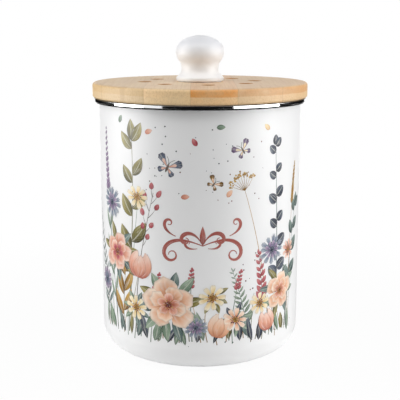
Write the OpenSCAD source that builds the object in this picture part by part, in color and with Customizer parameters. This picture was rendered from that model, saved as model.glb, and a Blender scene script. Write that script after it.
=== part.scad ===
// Countertop compost caddy: enamelled canister, lift-off bamboo lid with a charcoal filter,
// and an inner bucket.
// Millimetres, +Z up. The origin is on the table, in the middle of the canister's base.

/* [Canister] */
// Outer diameter of the enamelled wall
canister_d = 160; // [150:1:180]
// Height from the table to the top of the steel rim
canister_h = 203; // [180:0.1:230]
// Thickness of the enamelled steel
shell_t = 1.2; // [0.8:0.1:1.6]
// Outer radius where the wall turns into the base
corner_r = 19; // [14:0.5:24]
// Width of the flat ring that the canister stands on
foot_w = 9; // [6:0.5:14]
// How far the middle of the base is pressed up
base_step = 2; // [1:0.1:3]

/* [Steel rim] */
// How far the rim stands out past the wall
rim_reach = 4.1; // [3.8:0.1:6]
// Height of the rim's bright face
rim_h = 3.6; // [3.4:0.1:6]
// Thickness of the rim's steel strip
rim_t = 0.6; // [0.4:0.05:0.7]
// Outer radius of the rim's upper edge
rim_top_r = 0.8; // [0.8:0.1:1.6]
// Outer radius of the rim's lower edge
rim_edge_r = 1.2; // [0.8:0.1:1.8]
// Radius of the outward bend at the canister's mouth, on its hollow side
mouth_bend_r = 1; // [0.8:0.1:1.2]

/* [Lid] */
// How far the lid reaches past the steel rim
lid_reach = 1.1; // [0.5:0.1:4]
// Thickness of the lid's board
lid_t = 11.7; // [8:0.1:14]
// Rounding of the board's upper edge
lid_top_r = 2.4; // [0.8:0.1:3]
// Rounding of the board's lower edge
lid_low_r = 1.7; // [0.5:0.1:2]
// Gap between the board and the steel rim
lid_gap = 0.3; // [0.2:0.05:0.5]
// Depth of the plug ring under the board
plug_h = 12; // [11:0.5:16]
// Gap between the plug ring and the canister's wall, which the seal bridges
plug_gap = 3.3; // [2.8:0.1:4]
// Chamfer on the plug ring's lower edges
plug_chamfer = 0.8; // [0.4:0.1:1.2]

/* [Vents] */
// Number of vent holes
vent_n = 8; // [5:1:10]
// Diameter of a vent hole
vent_d = 10.5; // [6:0.5:12]
// Wood left between the vents and the edge of the plenum
vent_margin = 1; // [0.8:0.1:5]
// Angle of the first vent
vent_turn = 8; // [0:1:44]
// Chamfer round each vent
vent_chamfer = 0.5; // [0.2:0.1:1]

/* [Seal] */
// Height of the seal's groove
groove_h = 4; // [3:0.1:5]
// Depth of the seal's groove
groove_d = 2; // [1.5:0.1:3]
// Height of the groove above the plug ring's lower face
groove_rise = 3.4; // [2.5:0.1:5]
// Thickness of a sealing lip
lip_t = 0.8; // [0.5:0.1:1.1]
// How far a lip's tip droops
lip_droop = 0.9; // [0.3:0.1:1.2]

/* [Knob] */
// Diameter of the knob's ball
knob_d = 38.2; // [35:0.1:44]
// Radius of the ball's side
ball_side_r = 10.4; // [8:0.1:12.5]
// Height from the widest part of the ball up to the crown
ball_cap_h = 13; // [12.8:0.1:17]
// Diameter of the knob's neck
neck_d = 29.6; // [24:0.1:32]
// Radius of the neck where it turns up into the ball
neck_top_r = 8; // [3:0.5:10]
// Radius of the neck where it turns down into the foot
neck_low_r = 7.5; // [5:0.5:12]
// Straight length in the middle of the neck
neck_l = 1.1; // [0.1:0.1:6]
// Diameter of the knob's foot
knob_foot_d = 37.8; // [35:0.1:44]
// Radius of the foot's shoulder
foot_round_r = 1.8; // [1.2:0.1:2.8]
// Height of the middle of the foot's shoulder
foot_rise = 2; // [1.9:0.1:6]
// Radius of the foot's lower edge
foot_edge_r = 1; // [0.5:0.1:1.8]
// Thickness of the soft washer under the knob
gasket_t = 0.5; // [0.3:0.1:1]
// How far the soft washer stays inside the knob's foot
gasket_inset = 1.4; // [0.8:0.1:3]

/* [Knob screw] */
// Diameter of the knob's screw
knob_screw_d = 4; // [3:0.5:5]
// Diameter of the knob screw's head
screw_head_d = 8; // [7:0.5:10]
// Height of the knob screw's head
screw_head_h = 2.6; // [2:0.1:3]
// Diameter of the steel washer
washer_d = 12; // [11:0.5:16]
// Thickness of the steel washer
washer_t = 0.8; // [0.5:0.1:1]
// Outer diameter of the threaded insert
insert_d = 7; // [6:0.5:9]
// Length of the threaded insert
insert_h = 12; // [10:0.5:14]
// How far the insert sits up inside the knob
insert_sink = 1; // [0.5:0.1:2]
// Depth of the knob's hole past the insert
bore_spare = 1; // [0.5:0.1:3]
// Clearance round the screw where it passes through wood
screw_play = 0.25; // [0.15:0.05:0.4]
// Clearance of a piece pressed or glued into another
seat_play = 0.05; // [0.02:0.01:0.1]

/* [Charcoal filter] */
// Diameter of the filter pad
filter_d = 105; // [96:1:108]
// Thickness of the filter pad
filter_t = 6.4; // [5:0.1:8]
// How far the plug ring laps over the pad's edge
filter_lap = 2.2; // [1.5:0.1:4]
// Gap round the pad
filter_play = 0.8; // [0.4:0.1:1.2]

/* [Filter housing and cover] */
// Thickness of the housing's wall
housing_t = 2.2; // [1.6:0.1:2.6]
// Thickness of the housing's ledges
ledge_t = 1.8; // [1.4:0.1:2.4]
// How far the ledges reach in
ledge_w = 2.5; // [2:0.1:3.5]
// Number of bayonet lugs
lug_n = 3; // [2:1:3]
// Angle that a lug covers
lug_angle = 18; // [12:1:22]
// Angle that the cover turns to free its lugs
unlock_angle = 40; // [34:1:42]
// Angle left at each side of a lug in its gap
lug_spare = 3; // [2:0.5:4]
// Angle that a stop rib covers
stop_angle = 4; // [3:0.5:6]
// Thickness of the cover's plate
cover_t = 1.8; // [1.4:0.1:2.4]
// Running clearance between the cover and the housing
cover_play = 0.3; // [0.2:0.05:0.4]
// Height of the finger bar under the cover
finger_h = 7; // [5:0.5:9]
// Distance from the middle of the cover to each end of the finger bar
finger_reach = 28; // [20:1:36]
// Thickness of the finger bar
finger_t = 4; // [3:0.5:6]
// Width of the slots in the cover
slot_w = 3.4; // [2.4:0.1:4]
// Width of the plastic between two slots
slot_web = 3; // [2:0.1:4]
// Diameter of the housing's wood screws
wood_screw_d = 3; // [2.5:0.1:3.5]
// Length of the housing's wood screws
wood_screw_h = 10; // [8:0.5:11]
// Thickness of the housing's screw ears
ear_t = 2.6; // [2.2:0.1:3]
// Radius of a screw ear
ear_r = 4.6; // [4.4:0.1:5]
// Depth of the pilot holes past the wood screws
pilot_spare = 1; // [0.5:0.1:1.2]

/* [Liner bucket] */
// Thickness of the bucket's wall
liner_t = 1.5; // [1.2:0.1:2]
// Gap between the bucket's lip and the canister's wall
liner_gap = 0.7; // [0.5:0.1:1]
// How far the lip stands out from the bucket's wall
liner_lip_w = 3; // [2.4:0.1:4]
// Height of the lip's turned-down skirt
liner_lip_h = 5; // [4:0.5:8]
// Gap between the bucket's lip and the plug ring
liner_head = 3; // [2:0.5:6]
// How much narrower the bucket is at its base, each side
liner_draft = 2.8; // [1.5:0.1:4]
// Outer radius where the bucket's wall turns into its base
liner_corner_r = 14; // [12:0.5:18]
// Gap between the bucket and the floor that it stands on
liner_rest = 0.3; // [0.2:0.05:0.5]
// Width of a finger slot
grip_w = 36; // [30:1:44]
// Height of a finger slot
grip_h = 12; // [9:0.5:14]
// Distance from the rim down to the middle of a finger slot
grip_drop = 16; // [13:0.5:24]

/* [Hidden] */
$fn = 96;
// How far a cutting shape runs past the face that it cuts
past = 1;
// How far a piece runs into the wall that it grows from
root = 1;
// Rounded share of the knob screw head's height
head_round = 0.45;
// Width of a wood screw's head, as a multiple of the screw's diameter
wood_head = 1.9;
// Width and depth of a cross recess, as shares of its screw head's
recess_w = 0.55;
recess_h = 0.5;

// Canister
shell_r = canister_d / 2;
bore_r = shell_r - shell_t;
foot_r = shell_r - corner_r;
step_r = foot_r - foot_w;
flange_top = canister_h - rim_t;
bend_z = flange_top - shell_t - mouth_bend_r;
bend_x = shell_r + mouth_bend_r;

// Rim
rim_r = shell_r + rim_reach;
rim_low = canister_h - rim_h;
flange_r = rim_r - rim_top_r;

// Lid
lid_r = rim_r + lid_reach;
lid_z = canister_h + lid_gap;
lid_top = lid_z + lid_t;
plug_z = lid_z - plug_h;
plug_r = bore_r - plug_gap;
plenum_r = filter_d / 2 - filter_lap;
vent_ring_r = plenum_r - vent_margin - vent_d / 2;
groove_z = plug_z + groove_rise;
groove_r = plug_r - groove_d;
lip_r = bore_r - cover_play;

// Knob and its screw
knob_z = lid_top + gasket_t;
knob_r = knob_d / 2;
neck_r = neck_d / 2;
knob_foot_r = knob_foot_d / 2;
ball_x = knob_r - ball_side_r;
crown_r = (ball_x ^ 2 + ball_cap_h ^ 2 - ball_side_r ^ 2) / (2 * (ball_cap_h - ball_side_r));
foot_x = knob_foot_r - foot_round_r;
neck_low_x = neck_r + neck_low_r;
neck_low_z = foot_rise + sqrt((foot_round_r + neck_low_r) ^ 2 - (neck_low_x - foot_x) ^ 2);
neck_top_x = neck_r + neck_top_r;
neck_top_z = neck_low_z + neck_l;
ball_z = neck_top_z + sqrt((ball_side_r + neck_top_r) ^ 2 - (neck_top_x - ball_x) ^ 2);
knob_h = ball_z + ball_cap_h;
washer_z = lid_z - washer_t;
insert_z = knob_z + insert_sink;
screw_tip = insert_z + insert_h - insert_sink;

// Filter and housing
filter_z = plug_z - filter_t;
cover_top = filter_z - cover_play;
cover_z = cover_top - cover_t;
ledge_top = cover_z - cover_play;
housing_z = ledge_top - ledge_t;
housing_in_r = filter_d / 2 + filter_play;
housing_r = housing_in_r + housing_t;
ledge_r = housing_in_r - ledge_w;
cover_r = ledge_r - cover_play;
lug_r = housing_in_r - cover_play;
gap_angle = lug_angle + 2 * lug_spare;
stop_play = 0.5;
ear_ring_r = housing_r + ear_r - root;
wood_head_d = wood_head * wood_screw_d;
wood_head_h = (wood_head_d - wood_screw_d) / 2;
finger_z = cover_z - finger_h;

// Liner
floor_z = base_step + shell_t;
liner_z = floor_z + liner_rest;
liner_top = plug_z - liner_head;
liner_lip_r = bore_r - liner_gap;
liner_r = liner_lip_r - liner_lip_w;
liner_base_r = liner_r - liner_draft;
grip_z = liner_top - grip_drop;

// Section from radius r0 to r1 and height z0 to z1, on the right of the axis
module slab(r0, r1, z0, z1) {
    translate([r0, z0]) square([r1 - r0, z1 - z0]);
}

// Section of a disc or ring whose outer edge is rounded below by rb and above by rt
module rounded_slab(r0, r1, z0, z1, rb, rt) {
    middle = (z0 + z1) / 2;
    slab(r0, r1 - rb, z0, middle);
    slab(r0, r1 - rt, middle, z1);
    slab(r0, r1, z0 + rb, z1 - rt);
    translate([r1 - rb, z0 + rb]) circle(rb);
    translate([r1 - rt, z1 - rt]) circle(rt);
}

// Round hole from z0 up to z1, chamfered at its lower and upper ends
module chamfered_hole(r, z0, z1, chamfer) {
    translate([0, 0, z0 - past]) cylinder(r = r, h = z1 - z0 + 2 * past);
    translate([0, 0, z0 - past]) cylinder(r1 = r + chamfer + past, r2 = r, h = chamfer + past);
    translate([0, 0, z1 - chamfer]) cylinder(r1 = r, r2 = r + chamfer + past, h = chamfer + past);
}

// Cross recess that opens downwards at height z
module cross_recess(size, depth, z) {
    arm = size / 4;
    for (turn = [0, 90])
        rotate(turn)
            translate([-size / 2, -arm / 2, z - past]) cube([size, arm, depth + past]);
}

// Ring segment that covers an angle, centred on the X axis
module ring_segment(r0, r1, z0, z1, angle) {
    rotate(-angle / 2)
        rotate_extrude(angle = angle) slab(r0, r1, z0, z1);
}

// Point where two circles touch, each outside the other
function touch(a, a_r, b, b_r) = a + (b - a) * a_r / (a_r + b_r);

// Outline of the canister's section, filled to the axis, drawn in by an offset
module canister_outline(inset, top) {
    r = shell_r - inset;
    corner = corner_r - inset;
    difference() {
        union() {
            slab(0, r - corner, inset, top);
            slab(0, r, corner_r, top);
            translate([r - corner, corner_r]) circle(corner);
        }
        polygon([
            [-past, inset - past], [step_r + inset, inset - past], [step_r + inset, inset],
            [step_r + inset - base_step, inset + base_step], [-past, inset + base_step]
        ]);
    }
}

// Outward bend and flange at the canister's mouth
module mouth_flange() {
    difference() {
        union() {
            translate([bend_x, bend_z]) circle(mouth_bend_r + shell_t);
            slab(bend_x, flange_r, bend_z + mouth_bend_r, flange_top);
        }
        translate([bend_x, bend_z]) circle(mouth_bend_r);
        slab(0, flange_r + past, bend_z - mouth_bend_r - shell_t - past, bend_z);
        slab(bend_x, flange_r + past, bend_z - past, bend_z + mouth_bend_r);
    }
}

module canister_shell() {
    color("white")
        rotate_extrude() {
            difference() {
                canister_outline(0, bend_z);
                canister_outline(shell_t, bend_z + past);
            }
            mouth_flange();
        }
}

// Rim: a steel strip that is rolled over the flange, down its front and back in to the wall
module rim_trim() {
    wall_r = shell_r + seat_play;
    color("silver")
        rotate_extrude()
            difference() {
                rounded_slab(wall_r, rim_r, rim_low, canister_h, rim_edge_r, rim_top_r);
                rounded_slab(wall_r - past, rim_r - rim_t, rim_low + rim_t, flange_top,
                    rim_edge_r - rim_t, rim_top_r - rim_t);
            }
}

module lid_board() {
    color("burlywood")
        difference() {
            rotate_extrude() rounded_slab(0, lid_r, lid_z, lid_top, lid_low_r, lid_top_r);
            translate([0, 0, lid_z - past])
                cylinder(r = knob_screw_d / 2 + screw_play, h = lid_t + 2 * past);
            for (i = [0 : vent_n - 1])
                rotate(vent_turn + i * 360 / vent_n)
                    translate([vent_ring_r, 0, 0])
                        chamfered_hole(vent_d / 2, lid_z, lid_top, vent_chamfer);
        }
}

module lid_plug_ring() {
    color("tan")
        difference() {
            rotate_extrude()
                polygon([
                    [plenum_r, lid_z], [plenum_r, plug_z],
                    [plug_r - plug_chamfer, plug_z], [plug_r, plug_z + plug_chamfer],
                    [plug_r, groove_z], [groove_r, groove_z],
                    [groove_r, groove_z + groove_h], [plug_r, groove_z + groove_h],
                    [plug_r, lid_z]
                ]);
            at_ears()
                translate([0, 0, plug_z - past])
                    cylinder(r = wood_screw_d / 2 + seat_play,
                        h = past + wood_screw_h - ear_t + pilot_spare);
        }
}

// Seal: a band in the groove with two drooping lips that wipe the canister's wall
module seal_ring() {
    low = groove_z + seat_play;
    high = groove_z + groove_h - seat_play;
    color("whitesmoke")
        rotate_extrude() {
            slab(groove_r + seat_play, plug_r + lip_t, low, high);
            for (z = [high, low + lip_droop + lip_t])
                polygon([
                    [plug_r + lip_t / 2, z], [plug_r + lip_t / 2, z - lip_t],
                    [lip_r, z - lip_t - lip_droop + lip_t / 2], [lip_r, z - lip_droop]
                ]);
        }
}

// Section of the knob: five arcs that run into each other, from the crown down to the foot
module knob_section() {
    ball = [ball_x, ball_z];
    foot = [foot_x, foot_rise];
    neck_top = [neck_top_x, neck_top_z];
    neck_low = [neck_low_x, neck_low_z];
    edge = [knob_foot_r - foot_edge_r, foot_edge_r];
    crown = [0, knob_h - crown_r];
    crown_meet = crown + (ball - crown) * crown_r / (crown_r - ball_side_r);
    difference() {
        polygon([
            [0, 0], [edge[0], 0], edge, [knob_foot_r, foot_edge_r], [knob_foot_r, foot_rise],
            touch(foot, foot_round_r, neck_low, neck_low_r),
            touch(ball, ball_side_r, neck_top, neck_top_r),
            ball, [0, ball_z]
        ]);
        intersection() {
            translate(neck_top) circle(neck_top_r);
            slab(0, neck_top_x, neck_low_z, neck_top_z + neck_top_r);
        }
        intersection() {
            translate(neck_low) circle(neck_low_r);
            slab(0, neck_low_x, neck_low_z - neck_low_r, neck_top_z);
        }
        slab(neck_r, neck_top_x, neck_low_z, neck_top_z);
    }
    intersection() {
        union() {
            translate(ball) circle(ball_side_r);
            translate(foot) circle(foot_round_r);
            translate(edge) circle(foot_edge_r);
        }
        slab(0, knob_d, 0, knob_h);
    }
    intersection() {
        translate(crown) circle(crown_r);
        slab(0, crown_meet[0], ball_z, knob_h + past);
    }
}

module knob() {
    color("ghostwhite")
        difference() {
            translate([0, 0, knob_z]) rotate_extrude() knob_section();
            translate([0, 0, knob_z - past])
                cylinder(r = insert_d / 2 + seat_play,
                    h = past + insert_sink + insert_h + bore_spare);
        }
}

module knob_insert() {
    color("goldenrod")
        translate([0, 0, insert_z])
            difference() {
                cylinder(d = insert_d, h = insert_h);
                translate([0, 0, -past])
                    cylinder(r = knob_screw_d / 2 + seat_play, h = insert_h + 2 * past);
            }
}

module knob_gasket() {
    color("gainsboro")
        translate([0, 0, lid_top])
            difference() {
                cylinder(r = knob_foot_r - gasket_inset, h = gasket_t);
                translate([0, 0, -past])
                    cylinder(r = knob_screw_d / 2 + screw_play, h = gasket_t + 2 * past);
            }
}

module knob_screw() {
    head_r = screw_head_d / 2;
    head_edge = head_round * screw_head_h;
    head_z = washer_z - screw_head_h;
    color("silver")
        difference() {
            rotate_extrude() {
                slab(0, head_r - head_edge, head_z, washer_z);
                slab(0, head_r, head_z + head_edge, washer_z);
                translate([head_r - head_edge, head_z + head_edge]) circle(head_edge);
                slab(0, knob_screw_d / 2, head_z + head_edge, screw_tip);
            }
            cross_recess(recess_w * screw_head_d, recess_h * screw_head_h, head_z);
        }
}

module knob_washer() {
    color("silver")
        translate([0, 0, washer_z])
            difference() {
                cylinder(d = washer_d, h = washer_t);
                translate([0, 0, -past])
                    cylinder(r = knob_screw_d / 2 + seat_play, h = washer_t + 2 * past);
            }
}

// Places its children at each screw ear of the filter housing
module at_ears() {
    for (i = [0 : 3])
        rotate(45 + i * 90)
            translate([ear_ring_r, 0, 0])
                children();
}

// Housing: a ring that is screwed under the plug ring, with ledges for the cover's lugs
module filter_housing() {
    color("white")
        difference() {
            union() {
                rotate_extrude() slab(housing_in_r, housing_r, housing_z, plug_z);
                at_ears()
                    translate([0, 0, plug_z - ear_t]) cylinder(r = ear_r, h = ear_t);
                for (i = [0 : lug_n - 1])
                    rotate(i * 360 / lug_n) {
                        rotate(180 / lug_n - unlock_angle)
                            ring_segment(ledge_r, housing_in_r + root, housing_z, ledge_top,
                                360 / lug_n - gap_angle);
                        rotate((lug_angle + stop_angle) / 2 + stop_play)
                            ring_segment(ledge_r, housing_in_r + root, housing_z, cover_top,
                                stop_angle);
                    }
            }
            at_ears() {
                translate([0, 0, plug_z - ear_t - past])
                    cylinder(r = wood_screw_d / 2 + seat_play, h = ear_t + 2 * past);
                translate([0, 0, plug_z - ear_t])
                    cylinder(r1 = wood_head_d / 2 + seat_play, r2 = wood_screw_d / 2 + seat_play,
                        h = wood_head_h);
            }
        }
}

module housing_screws() {
    point_d = 0.4;
    color("silver")
        at_ears()
            translate([0, 0, plug_z - ear_t])
                difference() {
                    union() {
                        cylinder(d1 = wood_head_d, d2 = wood_screw_d, h = wood_head_h);
                        cylinder(d = wood_screw_d, h = wood_screw_h - wood_screw_d);
                        translate([0, 0, wood_screw_h - wood_screw_d])
                            cylinder(d1 = wood_screw_d, d2 = point_d, h = wood_screw_d);
                    }
                    cross_recess(recess_w * wood_head_d, recess_h * wood_head_h, 0);
                }
}

// Pair of round-ended slots at height y on the cover, one on each side of its middle rib
module slot_pair(y, reach) {
    start = (slot_web + slot_w) / 2;
    for (side = [-1, 1]) {
        translate([side > 0 ? start : -reach, y - slot_w / 2, cover_z - past])
            cube([reach - start, slot_w, cover_t + 2 * past]);
        for (x = [start, reach])
            translate([side * x, y, cover_z - past]) cylinder(d = slot_w, h = cover_t + 2 * past);
    }
}

// Cover: a slotted plate that hangs on bayonet lugs, with a bar to turn it by
module filter_cover() {
    pitch = slot_w + slot_web;
    slots_r = cover_r - slot_web - slot_w / 2;
    rows = floor(slots_r / pitch);
    bar_l = 2 * finger_reach;
    color("whitesmoke")
        union() {
            difference() {
                union() {
                    translate([0, 0, cover_z]) cylinder(r = cover_r, h = cover_t);
                    for (i = [0 : lug_n - 1])
                        rotate(i * 360 / lug_n)
                            ring_segment(cover_r - root, lug_r, cover_z, cover_top, lug_angle);
                }
                for (i = [1 : rows])
                    let (reach = sqrt(slots_r ^ 2 - (i * pitch) ^ 2))
                        if (reach > 2 * slot_w)
                            for (side = [-1, 1])
                                slot_pair(side * i * pitch, reach);
            }
            translate([-bar_l / 2, -finger_t / 2, finger_z])
                cube([bar_l, finger_t, cover_z + cover_t / 2 - finger_z]);
            for (side = [-1, 1])
                translate([side * bar_l / 2, 0, finger_z])
                    cylinder(d = finger_t, h = cover_z + cover_t / 2 - finger_z);
        }
}

module charcoal_filter() {
    edge = 1;
    color("dimgray")
        rotate_extrude() rounded_slab(0, filter_d / 2, filter_z, plug_z, edge, edge);
}

// Section of the bucket, filled to the axis, drawn in by an offset
module liner_outline(inset, top) {
    corner = liner_corner_r - inset;
    base_r = liner_base_r - inset;
    low = liner_z + inset;
    union() {
        slab(0, base_r - corner, low, liner_z + liner_corner_r);
        translate([base_r - corner, liner_z + liner_corner_r]) circle(corner);
        polygon([
            [0, liner_z + liner_corner_r], [base_r, liner_z + liner_corner_r],
            [liner_r - inset, top], [0, top]
        ]);
    }
}

module liner_bucket() {
    color("lightgray")
        difference() {
            rotate_extrude() {
                difference() {
                    liner_outline(0, liner_top);
                    liner_outline(liner_t, liner_top + past);
                }
                difference() {
                    rounded_slab(liner_r - liner_t, liner_lip_r, liner_top - liner_lip_h, liner_top,
                        liner_t / 3, liner_t);
                    slab(0, liner_lip_r - liner_t, liner_top - liner_lip_h - past, liner_top - liner_t);
                }
            }
            for (side = [-1, 1])
                grip_cutter(side);
        }
}

// Round-ended finger slot through the bucket's wall
module grip_cutter(side) {
    half = grip_w / 2 - grip_h / 2;
    for (y = [-half, half])
        translate([0, y, grip_z])
            rotate([0, side * 90, 0]) cylinder(d = grip_h, h = shell_r);
    translate([side > 0 ? 0 : -shell_r, -half, grip_z - grip_h / 2])
        cube([shell_r, 2 * half, grip_h]);
}

canister_shell();
rim_trim();
lid_board();
lid_plug_ring();
seal_ring();
knob();
knob_insert();
knob_gasket();
knob_screw();
knob_washer();
filter_housing();
housing_screws();
filter_cover();
charcoal_filter();
liner_bucket();
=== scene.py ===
import math
import random

import bmesh
import bpy
from mathutils import Matrix, Vector


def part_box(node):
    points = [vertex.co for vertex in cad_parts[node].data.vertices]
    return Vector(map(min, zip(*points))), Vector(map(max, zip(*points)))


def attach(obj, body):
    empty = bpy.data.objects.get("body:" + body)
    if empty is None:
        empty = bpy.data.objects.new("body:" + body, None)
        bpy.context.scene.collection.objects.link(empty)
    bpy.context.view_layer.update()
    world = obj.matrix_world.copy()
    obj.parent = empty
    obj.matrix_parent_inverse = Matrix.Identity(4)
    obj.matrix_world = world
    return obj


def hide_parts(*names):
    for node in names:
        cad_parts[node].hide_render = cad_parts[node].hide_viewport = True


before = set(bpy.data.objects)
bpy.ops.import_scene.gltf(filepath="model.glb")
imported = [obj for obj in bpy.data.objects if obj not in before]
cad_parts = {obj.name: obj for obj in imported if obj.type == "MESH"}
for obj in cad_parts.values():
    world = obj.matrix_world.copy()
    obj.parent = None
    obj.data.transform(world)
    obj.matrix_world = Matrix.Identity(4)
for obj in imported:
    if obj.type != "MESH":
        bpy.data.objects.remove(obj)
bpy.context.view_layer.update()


MM = 0.001


def new_object(name, data):
    """Puts a mesh, a camera or a lamp into the scene as an object."""
    item = bpy.data.objects.new(name, data)
    bpy.context.scene.collection.objects.link(item)
    return item


# --- Camera -----------------------------------------------------------------------------------

CAMERA_DISTANCE = 708.6 * MM
CAMERA_HEIGHT = 261.3 * MM
CAMERA_TILT = 11.4          # degrees below level
CAMERA_LENS = 79.5          # focal length, for the sensor below
CAMERA_SENSOR = 36          # width of the sensor


def set_camera():
    data = bpy.data.cameras.new("camera")
    data.lens = CAMERA_LENS
    data.sensor_width = CAMERA_SENSOR
    camera = new_object("camera", data)
    camera.location = (0, -CAMERA_DISTANCE, CAMERA_HEIGHT)
    camera.rotation_euler = (math.radians(90 - CAMERA_TILT), 0, 0)
    bpy.context.scene.camera = camera


set_camera()


# --- Sizes taken from the frame ---------------------------------------------------------------

def box_mm(node):
    """A node's lowest and highest corner, in millimetres."""
    low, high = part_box(node)
    return Vector(low) / MM, Vector(high) / MM


rim_low, rim_high = box_mm("rim_trim")
board_low, board_high = box_mm("lid_board")
knob_low, knob_high = box_mm("knob")
board_middle = (board_low.z + board_high.z) / 2

WALL_R = 80.0               # outer radius of the enamelled wall


# --- Shader trees written as sums -------------------------------------------------------------

class Value:
    """A node's output. A sum on values adds the Math nodes that work it out."""

    def __init__(self, tree, socket):
        self.tree = tree
        self.socket = socket

    def math(self, operation, *others):
        given = dict(enumerate((self, *others)))
        return self.tree.node("Math", {"operation": operation}, given)

    def __add__(self, other):
        return self.math("ADD", other)

    def __sub__(self, other):
        return self.math("SUBTRACT", other)

    def __mul__(self, other):
        return self.math("MULTIPLY", other)

    def __truediv__(self, other):
        return self.math("DIVIDE", other)

    def __rsub__(self, other):
        return self.tree.node("Math", {"operation": "SUBTRACT"}, {0: other, 1: self})

    __radd__ = __add__
    __rmul__ = __mul__

    def __abs__(self):
        return self.math("ABSOLUTE")

    def floor(self):
        return self.math("FLOOR")

    def below(self, limit):
        return self.math("LESS_THAN", limit)

    def most(self, other):
        return self.math("MAXIMUM", other)

    def root(self):
        return self.math("POWER", 0.5)

    def eased(self, low, high, start=0.0, end=1.0):
        """Start at low and below, end at high and above, and an even curve between them."""
        return self.tree.node(
            "MapRange", {"interpolation_type": "SMOOTHSTEP"},
            {"Value": self, "From Min": low, "From Max": high, "To Min": start, "To Max": end})

    def beside(self, name):
        """Another output of the same node."""
        return Value(self.tree, self.socket.node.outputs[name])


class Tree:
    """A tree of shader nodes."""

    def __init__(self, node_tree):
        self.nodes = node_tree.nodes
        self.links = node_tree.links

    def node(self, kind, settings=None, sockets=None, output=0):
        """Adds a node: its settings first, then the values or links of its sockets."""
        node = self.nodes.new("ShaderNode" + kind)
        for name, setting in (settings or {}).items():
            if name == "stops":
                self.set_stops(node.color_ramp, setting)
            elif name == "blend":
                node.color_ramp.interpolation = setting
            else:
                setattr(node, name, setting)
        for key, given in (sockets or {}).items():
            self.feed(node.inputs[key], given)
        return Value(self, node.outputs[output])

    @staticmethod
    def set_stops(ramp, stops):
        while len(ramp.elements) < len(stops):
            ramp.elements.new(1.0)
        for element, (position, colour) in zip(ramp.elements, stops):
            element.position = position
            element.color = (*colour, 1.0)

    def feed(self, socket, given):
        """Links a value to a socket, or sets the socket to a number or a colour."""
        if isinstance(given, Value):
            self.links.new(given.socket, socket)
        elif isinstance(given, tuple) and socket.type == "RGBA":
            socket.default_value = (*given, 1.0)
        else:
            socket.default_value = given


class Finish(Tree):
    """A procedural material with one principled shader."""

    def __init__(self, name, **constants):
        self.material = bpy.data.materials.new(name)
        self.material.use_nodes = True
        super().__init__(self.material.node_tree)
        self.shader = self.nodes["Principled BSDF"]
        self.paint(**constants)

    def paint(self, **sockets):
        """Feeds the shader's own sockets."""
        for name, given in sockets.items():
            label = name.replace("_", " ").title().replace("Ior", "IOR")
            self.feed(self.shader.inputs[label], given)
        return self.material

    def place(self, scale=(1, 1, 1)):
        """Object coordinates in millimetres, stretched by scale."""
        where = self.node("TexCoord", output="Object")
        per_mm = tuple(number / MM for number in scale)
        return self.node("VectorMath", {"operation": "MULTIPLY"}, {0: where, 1: per_mm})

    def axes(self, vector):
        """The three parts of a vector, each as a value."""
        x = self.node("SeparateXYZ", sockets={0: vector})
        return x, x.beside("Y"), x.beside("Z")

    def joined(self, x, y, z):
        return self.node("CombineXYZ", sockets={"X": x, "Y": y, "Z": z})

    def mix(self, share, first, second):
        """The first colour, turning to the second one as share goes from 0 to 1."""
        return self.node("Mix", {"data_type": "RGBA"}, {0: share, 6: first, 7: second}, output=2)

    def layered(self, colour, *layers):
        """A colour with tones laid over it in turn: each layer is its share and its tone."""
        for share, tone in layers:
            colour = self.mix(share, colour, tone)
        return colour

    def noise(self, where, scale, detail=2.0, rough=0.5):
        """Noise from 0 to 1, with about scale waves to the millimetre."""
        return self.node("TexNoise", sockets={
            "Vector": where, "Scale": scale, "Detail": detail, "Roughness": rough})

    def bump(self, height, depth, strength=1.0):
        """A bumped normal: height runs from 0 to 1 and depth is in millimetres."""
        return self.node("Bump", sockets={
            "Height": height, "Distance": depth * MM, "Strength": strength})


def distance(x, y):
    """How far off a point is that lies x to the side and y along."""
    return (x * x + y * y).root()


# --- Finishes ---------------------------------------------------------------------------------

def enamel():
    """Fired white enamel: a soft sheen over a faintly uneven flow coat."""
    coat = Finish("enamel", ior=1.5)
    where = coat.place()
    flow = coat.noise(where, 0.035)
    grain = coat.noise(where, 1.6, 3.0)
    peel = coat.noise(where, 0.16)
    return coat.paint(
        base_color=coat.mix(flow, (0.86, 0.862, 0.865), (0.90, 0.90, 0.898)),
        roughness=0.34 + grain * 0.08,
        normal=coat.bump(peel, 0.02))


BEND_SHADE_LOW = (0.3, 0.9)     # painted shade: the dark line on the rim's lower bend gives way to polish between these heights over its lower edge
BEND_SHADE_HIGH = (0.65, 0.35)  # and the painted dark line on its upper bend comes in between these depths under its upper edge


def polished_steel():
    """Rim steel: its face is polished along the band, and its two bends are rougher, with painted
    shade and painted dark reflection on them.
    """
    steel = Finish("polished_steel", metallic=1.0)
    where = steel.place()
    x, y, z = steel.axes(where)
    lines = steel.noise(steel.joined(y.math("ARCTAN2", x) * 6.0, z * 5.0, 0.0), 1.0, 3.0)
    haze = steel.noise(where, 0.3, 3.0)
    low_bend = z.eased(rim_low.z + BEND_SHADE_LOW[0], rim_low.z + BEND_SHADE_LOW[1], 1.0, 0.0)
    high_bend = z.eased(rim_high.z - BEND_SHADE_HIGH[0], rim_high.z - BEND_SHADE_HIGH[1])
    # the bends' mask: rougher there, and painted shade that turns their colour dark grey
    dull_and_painted_shade = low_bend.most(high_bend)
    tone = steel.mix(lines, (0.80, 0.81, 0.82), (0.92, 0.92, 0.93))
    return steel.paint(
        base_color=steel.mix(dull_and_painted_shade * 0.65, tone, (0.12, 0.12, 0.125)),
        roughness=0.035 + haze * 0.05 + dull_and_painted_shade * 0.1,
        normal=steel.bump(lines, 0.004))


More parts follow.
